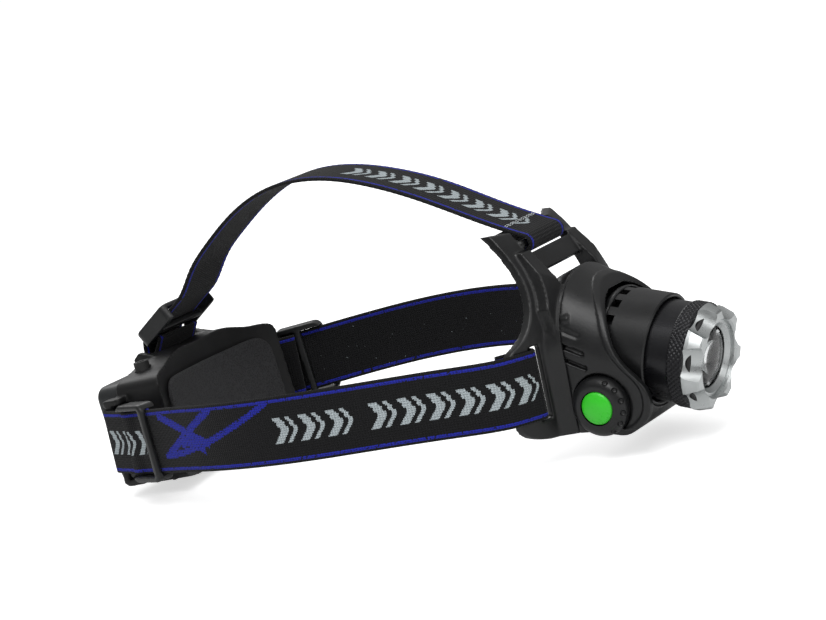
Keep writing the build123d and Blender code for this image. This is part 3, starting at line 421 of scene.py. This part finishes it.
def woven(name, motifs, lattice):
    """Elastic webbing: black ribs, blue edge lines, pale chevrons in groups, and crossing blue strands.

    motifs are (start, end) stretches with chevrons and lattice is the stretch of the strands, in mm
    along the band from its rear end.
    """
    n = Nodes(name)
    lay = n.node("ShaderNodeAttribute", attribute_name="lay").outputs["Vector"]
    split = n.node("ShaderNodeSeparateXYZ", {0: lay})
    s = n.math("MULTIPLY", split.outputs[0], 1000.0)
    t = n.math("MULTIPLY", split.outputs[1], 1000.0)
    outer = n.math("GREATER_THAN", split.outputs[2], 0.0)
    edge = n.math("ABSOLUTE", t)
    pick = 0.62                                     # spacing of the weft rows
    row = n.math("FLOOR", n.math("DIVIDE", t, pick))
    jitter = n.node("ShaderNodeTexWhiteNoise", {"W": row}, noise_dimensions="1D").outputs["Value"]
    ragged = n.math("ADD", s, n.math("MULTIPLY", n.math("SUBTRACT", jitter, 0.5), 0.7))
    level = n.math("MULTIPLY", row, pick)

    def inside(value, low, high):
        return n.math("MULTIPLY", n.math("GREATER_THAN", value, low), n.math("LESS_THAN", value, high))

    # pale chevrons, a broad one and a narrow one by turns, all pointing the same way
    bars = None
    for start, end in motifs:
        arrow = n.math("ADD", n.math("SUBTRACT", ragged, start),
                       n.math("MULTIPLY", n.math("ABSOLUTE", level), 0.62))
        cell = n.math("FLOORED_MODULO", arrow, 10.4)
        stroke = n.math("ADD", inside(cell, 0.8, 4.0), inside(cell, 6.0, 7.6))
        whole = inside(arrow, 0.0, end - start)
        band = n.math("MULTIPLY", n.math("MULTIPLY", stroke, whole), n.math("LESS_THAN", edge, 4.7))
        bars = band if bars is None else n.math("MAXIMUM", bars, band)

    # blue strands that cross: each a plain curve level = a + b run + c run^2 over its own stretch
    start, end = lattice
    run = n.math("SUBTRACT", ragged, start)
    size = (end - start) / STRANDS_LENGTH
    cross = None
    for first, last, a, b, c in STRANDS:
        slope = n.math("ADD", b / size, n.math("MULTIPLY", run, c / size**2))
        curve = n.math("ADD", a, n.math("MULTIPLY", run, slope))
        width = 1.15 + 1.1 * abs(b)
        near = n.math("LESS_THAN", n.math("ABSOLUTE", n.math("SUBTRACT", level, curve)), width)
        strand = n.math("MULTIPLY", near, inside(run, first * size, last * size))
        cross = strand if cross is None else n.math("MAXIMUM", cross, strand)
    cross = n.math("MULTIPLY", cross, n.math("LESS_THAN", edge, 10.6))
    lines = n.math("MULTIPLY", inside(edge, 10.3, 11.4), n.math("GREATER_THAN", n.noise(420.0, 1.0), 0.33))
    thread = n.noise(2600.0, 2.0)
    fleck = n.math("GREATER_THAN", n.noise(1500.0, 1.0), 0.36)
    blue = n.math("MULTIPLY", n.math("MAXIMUM", lines, n.math("MULTIPLY", cross, outer)), fleck)
    specks = n.math("MULTIPLY", n.math("GREATER_THAN", n.noise(900.0, 1.0), 0.78),
                    n.math("SUBTRACT", 1.0, outer))

    warp = n.math("SINE", n.math("MULTIPLY", t, 2 * pi / 0.9))
    weft = n.math("SINE", n.math("MULTIPLY", n.math("ADD", s, n.math("MULTIPLY", warp, 0.16)), 2 * pi / 1.05))
    weave = n.math("MULTIPLY", n.math("ADD", warp, weft), 0.5)
    # painted shade: every webbing colour is darker where the weave and thread noise sit low in the bump and
    # lighter where they stand high
    shade = n.ramp(n.math("ADD", weave, n.math("MULTIPLY", thread, 1.4)), -0.8, 1.8)
    black = n.mix(shade, (0.003, 0.0031, 0.0035, 1), (0.012, 0.012, 0.013, 1))
    navy = n.mix(shade, (0.008, 0.011, 0.13, 1), (0.022, 0.030, 0.42, 1))
    pale = n.mix(shade, (0.20, 0.23, 0.25, 1), (0.50, 0.56, 0.58, 1))
    colour = n.mix(n.math("MULTIPLY", bars, outer), n.mix(blue, black, navy), pale)
    colour = n.mix(n.math("MULTIPLY", specks, 0.5), colour, pale)
    n.bump(n.math("ADD", weave, n.math("MULTIPLY", thread, 0.8)), 0.7, 0.00016)
    n.shader.inputs["Sheen Weight"].default_value = 0.08
    n.shader.inputs["Sheen Roughness"].default_value = 0.4
    return n.set(Base_Color=colour, Roughness=0.85, Specular_IOR_Level=0.18)


upright = np.array((0, 0, 1.0))
for side, name in ((RIGHT, "right"), (LEFT, "left")):
    mesh, band_length = webbing_mesh(
        f"head_strap_{name}", band_path(),
        lambda p: np.array((p[0], side * p[1], band_z(p[0]))),
        lambda d: np.array((-d[1], side * d[0], 0)),
        lambda p, d: upright, wave=0.12,
        bar_at=BAND_FOLD + pi * WRAP_R + BAND_SLIDER_AT - SLIDER_REAR_BAR, bar_rise=BAR_RISE)
    cloth = woven(f"webbing_{name}", [(35, 62), (140.5, 169), (177, 236)], (73, 138))
    strap = link(f"head_strap_{name}", mesh, cloth, "headgear")
    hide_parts(f"head_band_{name}")

mesh, top_length = webbing_mesh(
    "crown_strap", top_path(), lambda p: np.array((p[0], 0, p[1])),
    lambda d: np.array((-d[1], 0, d[0])), lambda p, d: np.array((0, 1.0, 0)), wave=0.12)
strap = link("crown_strap", mesh, woven("webbing_top", [(147, 222)], (40, 78)), "headgear")
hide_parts("top_strap")



def highlight_stitches(name, s_at, rows=2, count=11):
    """Rows of short pale stitch-shaped marks across the top strap, standing just proud of the webbing: a
    painted highlight along the strap's bend over the front bar, given the shape of stitches.
    """
    points, along = resampled(top_path(), 0.8)
    made = bmesh.new()
    for row in range(rows):
        k = int(np.searchsorted(along, s_at + row * 1.5))
        tangent = (points[k + 1] - points[k - 1]) / np.linalg.norm(points[k + 1] - points[k - 1])
        normal = Vector((-tangent[1], 0, tangent[0]))
        at = Vector((points[k][0], 0, points[k][1])) + normal * 0.78
        for i in range(count):
            y = (i - (count - 1) / 2) * 1.95
            along_strap = Vector((tangent[0], 0, tangent[1]))
            turn = Matrix((Vector((0, 1, 0)), along_strap, normal)).transposed().to_4x4()
            lean = Matrix.Rotation(radians(18 if i % 2 else -18), 4, "Z")
            size = Matrix.Diagonal((0.85, 0.24, 0.2, 1))
            shift = Matrix.Translation((at + Vector((0, y, 0))) * MM)
            place = shift @ turn @ lean @ size @ Matrix.Scale(MM, 4)
            bmesh.ops.create_uvsphere(made, u_segments=10, v_segments=6, radius=1.0, matrix=place)
    mesh = bpy.data.meshes.new(name)
    made.to_mesh(mesh)
    made.free()
    return mesh


# pale grey marks: painted highlight on the top strap's bend over the front bar, made as stitches
thread = moulded("stitch_highlight_paint", (0.42, 0.45, 0.46), 0.7, 3000.0, 0.00006)
link("crown_highlight_stitches", highlight_stitches("crown_highlight_stitches", 217.0), thread, "headgear")

# ---------------------------------------------------------------- mouldings
black = moulded("black_moulding", (0.0055, 0.0057, 0.0062), 0.33, specular=0.42)
softened("bracket_shell", "front_bracket", black, "headgear", 0.5, 5)
softened("hood_shell", "hood", black, "headgear", 0.4, 4)
softened("cup_shell", "lamp_holder", black, "lamp", 0.45, 3)
soft_black = moulded("soft_black_moulding", (0.0045, 0.0045, 0.0048), 0.46, specular=0.36)
softened("cradle_shell", "battery_cradle", soft_black, "headgear", 0.5, 5)
charcoal = moulded("charcoal_moulding", (0.014, 0.0155, 0.0165), 0.42, specular=0.4)
softened("lid_shell", "battery_lid", charcoal, "lid", 0.45, 4)
slider = moulded("slider_moulding", (0.008, 0.0085, 0.009), 0.38, specular=0.4)
for node, body in (("band_slider_right", "slider_right"), ("band_slider_left", "slider_left"),
                   ("top_strap_slider", "slider_top")):
    softened(node + "_shell", node, slider, body, 0.35, 4)

# ---------------------------------------------------------------- foam pads
foam = Nodes("foam_rubber")
foam_place = foam.node("ShaderNodeTexCoord").outputs["Object"]
pores = foam.node("ShaderNodeTexVoronoi", {"Scale": 1500.0, "Vector": foam_place})
pore = foam.ramp(pores.outputs["Distance"], 0.0, 0.6)
foam.bump(foam.math("ADD", pore, foam.noise(700.0)), 0.8, 0.00025)
# darker where the pores sink in the bump, lighter on the cell walls: painted shade in the foam's pores
foam_colour_with_pore_shade = foam.mix(pore, (0.006, 0.006, 0.0065, 1), (0.028, 0.028, 0.03, 1))
foam_rubber = foam.set(Base_Color=foam_colour_with_pore_shade, Roughness=0.93)
for node, name in (("forehead_pad", "brow_cushion"), ("nape_pad", "nape_cushion")):
    cushion = softened(name, node, foam_rubber, "headgear", 0.6, 14, 1.0)
    for vertex in cushion.data.vertices:
        vertex.co += vertex.normal * (noise.noise(vertex.co * 70.0) * 0.00018 - 0.0001)


# ---------------------------------------------------------------- knurled grip ring
def knurl(name, start=21.1, end=26.7, bore=18.02, crest=None, depth=0.34, diamonds=64, pitch=1.75):
    """The grip ring with crossing grooves cut in its face, turned about the lamp's axis."""
    stations = [(start, bore), (start, 18.45)] + [(a, None) for a in np.linspace(start + 0.4, end - 0.4, 21)]
    stations += [(end, 18.45), (end, bore)]
    turns = diamonds * 8
    across = Vector((0, 1, 0))
    verts = []
    for a, fixed in stations:
        for k in range(turns):
            u, v = k / 8.0, (a - start) / pitch
            peak = min(1 - abs(2 * ((u + v) % 1) - 1), 1 - abs(2 * ((u - v) % 1) - 1))
            r = fixed if fixed is not None else crest - depth * (1 - min(1.0, peak * 1.25))
            angle = 2 * pi * k / turns
            spoke = LAMP_UP * (r * cos(angle)) + across * (r * sin(angle))
            verts.append((LAMP_AT + LAMP_DIR * a + spoke) * MM)
    m = len(stations)
    faces = [(i * turns + k, i * turns + (k + 1) % turns, ((i + 1) % m) * turns + (k + 1) % turns,
              ((i + 1) % m) * turns + k) for i in range(m) for k in range(turns)]
    mesh = bpy.data.meshes.new(name)
    mesh.from_pydata([tuple(v) for v in verts], [], faces)
    made = bmesh.new()
    made.from_mesh(mesh)
    bmesh.ops.recalc_face_normals(made, faces=made.faces)
    made.to_mesh(mesh)
    made.free()
    return mesh


anodised = metal("anodised", (0.012, 0.012, 0.014), 0.3, (0.05, 1, 1), metallic=0.5)
ring = link("grip_ring", knurl("grip_ring", crest=GRIP_R), anodised, "zoom_head")
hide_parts("knurled_ring")
ring.data.set_sharp_from_angle(angle=radians(35))

# ---------------------------------------------------------------- CAD parts that keep their shape
KEPT = {
    "charcoal_moulding": ("battery_tray",),
    "black_moulding": ("switch_housing", "pivot_cap", "lamp_sleeve", "switch_body"),
}
MATERIALS = {
    "charcoal_moulding": charcoal, "black_moulding": black,
    "steel": metal("steel", (0.55, 0.55, 0.54), 0.3),
    "bar": metal("bar", (0.62, 0.62, 0.60), 0.35, (1, 0.05, 1)),
    "anodised": anodised,
    "aluminium": metal("aluminium", (0.75, 0.76, 0.77), 0.3),
    "nickel": metal("nickel", (0.7, 0.68, 0.62), 0.25),
    "silver": metal("silver", (0.50, 0.52, 0.52), 0.30, (0.4, 1, 1)),
    "rubber": moulded("rubber", (0.012, 0.012, 0.012), 0.6),
    "green": moulded("green", (0.035, 0.60, 0.02), 0.3, 900.0, 0.00001, 0.04),
    "board": moulded("board", (0.02, 0.12, 0.05), 0.35),
    "star": moulded("star", (0.8, 0.8, 0.78), 0.3),
    "phosphor": moulded("phosphor", (0.85, 0.72, 0.12), 0.3),
    "wrap": moulded("wrap", (0.05, 0.15, 0.45), 0.28),
}
KEPT.update({
    "steel": ("hood_screws", "pivot_screw", "tilt_washers", "lid_hinge_pin"),
    "bar": ("top_strap_bar",),
    "anodised": ("inner_barrel", "zoom_tube", "lens_retainer"),
    "aluminium": ("heat_sink",), "nickel": ("contact_springs", "contact_plates"),
    "silver": ("bezel",), "rubber": ("barrel_oring", "lens_oring", "cable_grommet"),
    "green": ("switch_button",), "board": ("driver_board", "protection_board"), "star": ("led_board",),
    "phosphor": ("led_emitter",), "wrap": ("upper_battery_cell", "lower_battery_cell"),
})
glass = Nodes("lens_glass")
glass.shader.inputs["Transmission Weight"].default_value = 1.0
glass.shader.inputs["IOR"].default_value = 1.49
haze = glass.noise(400.0)
glass.bump(haze, 0.15, 0.000005)
MATERIALS["glass"] = glass.set(Base_Color=(0.97, 0.985, 0.99, 1),
                               Roughness=glass.ramp(haze, 0.3, 0.7, 0.01, 0.04))
KEPT["glass"] = ("lens",)
for material, nodes in KEPT.items():
    for node in nodes:
        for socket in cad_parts[node].material_slots:
            socket.material = MATERIALS[material]

# ---------------------------------------------------------------- floor and light
LIGHTS = (("key", (0.35, -0.75, 1.15), 0.8, 9), ("side", (1.3, -0.35, 0.7), 0.9, 3.5),
          ("rear", (-0.9, 0.6, 0.9), 0.8, 5))


def stage():
    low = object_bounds()[0][2]
    bpy.ops.mesh.primitive_grid_add(x_subdivisions=8, y_subdivisions=8, size=12,
                                    location=(0, 0, low - 0.0005))
    floor = bpy.context.object
    floor.name = "floor"
    n = Nodes("floor_paint")
    cloud = n.noise(3.0)
    floor.data.materials.append(n.set(
        Base_Color=n.mix(cloud, (0.88, 0.885, 0.885, 1), (0.90, 0.902, 0.902, 1)), Roughness=0.9,
        Emission_Color=(1, 1, 1, 1),
        Emission_Strength=n.math("MULTIPLY", n.node("ShaderNodeLightPath").outputs["Is Camera Ray"], 0.62)))
    floor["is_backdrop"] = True
    for name, place, size, power in LIGHTS:
        data = bpy.data.lights.new(name, "AREA")
        data.energy, data.size = power, size
        light = bpy.data.objects.new(name, data)
        bpy.context.scene.collection.objects.link(light)
        light.location = place
        light.rotation_euler = (Vector((0, 0, 0)) - Vector(place)).to_track_quat("-Z", "Y").to_euler()
    world = bpy.data.worlds.new("studio")
    bpy.context.scene.world = world
    world.use_nodes = True
    tree = world.node_tree
    background = tree.nodes["Background"]
    background.inputs[0].default_value = (1, 1, 1, 1)
    path = tree.nodes.new("ShaderNodeLightPath")
    height = tree.nodes.new("ShaderNodeSeparateXYZ")
    where = tree.nodes.new("ShaderNodeTexCoord")
    glow = tree.nodes.new("ShaderNodeMapRange")
    for socket, value in zip(list(glow.inputs)[1:5], (-0.1, 0.9, 0.10, 0.6)):
        socket.default_value = value
    seen = tree.nodes.new("ShaderNodeMath")
    seen.operation = "MAXIMUM"
    tree.links.new(where.outputs["Generated"], height.inputs[0])
    tree.links.new(height.outputs[2], glow.inputs[0])
    tree.links.new(glow.outputs[0], seen.inputs[0])
    tree.links.new(path.outputs["Is Camera Ray"], seen.inputs[1])
    tree.links.new(seen.outputs[0], background.inputs[1])
    bpy.context.scene.view_settings.view_transform = "Standard"


stage()
